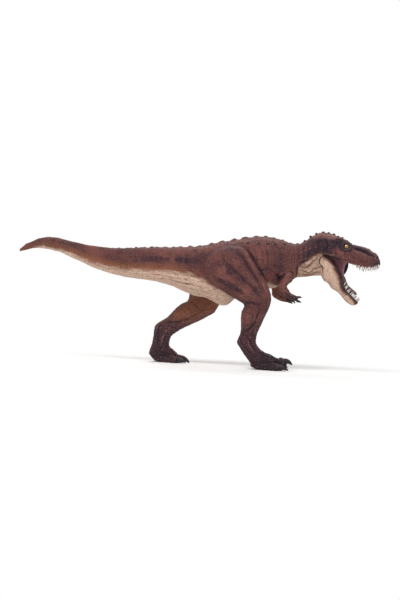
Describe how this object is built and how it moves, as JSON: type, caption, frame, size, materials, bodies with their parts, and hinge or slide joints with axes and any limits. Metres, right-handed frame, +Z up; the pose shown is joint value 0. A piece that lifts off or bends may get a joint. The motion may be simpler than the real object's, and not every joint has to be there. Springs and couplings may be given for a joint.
{
  "type": "toy dinosaur figure",
  "caption": "Striding open-mouthed toy tyrannosaur, a hollow figure with glued limbs, head and tail and a lower jaw that swings on a pin, standing on flat soles.",
  "frame": {"origin": "middle of the figure's overall box, on the ground that its soles stand on", "axes": "+X towards the snout, +Z up, and the figure's right side faces -Y"},
  "size_m": [0.3404, 0.0706, 0.132],
  "materials": {
    "brown_skin": "soft moulded plastic, painted dark purplish brown over reddish brown with a dry-brushed pebbled grain",
    "cream_skin": "soft moulded plastic, painted pale pinkish cream with fine brown speckle",
    "mouth_pink": "soft moulded plastic, satin dark pink",
    "tongue_mauve": "soft moulded plastic, satin dark mauve",
    "tooth_white": "hard moulded plastic, glossy greyish ivory",
    "eye_yellow": "hard moulded bead, painted amber yellow with a black pupil under clear gloss",
    "steel": "plain drawn steel pin"
  },
  "bodies": {
    "body": {"torso": "brown_skin", "tail": "brown_skin", "head": "brown_skin", "right_leg": "brown_skin", "left_leg": "brown_skin", "right_arm": "brown_skin", "left_arm": "brown_skin", "right_eye": "eye_yellow", "left_eye": "eye_yellow", "jaw_pin": "steel", "upper_teeth": "tooth_white", "palate": "mouth_pink"},
    "jaw": {"lower_jaw": "cream_skin", "mouth_lining": "mouth_pink", "lower_teeth": "tooth_white", "tongue": "tongue_mauve"}
  },
  "joints": [
    {"name": "jaw_hinge", "type": "hinge", "parent": "body", "child": "jaw", "pos_m": [0.1177, 0, 0.1043], "axis": [0, -1, 0], "range_deg": [0, 34]}
  ]
}
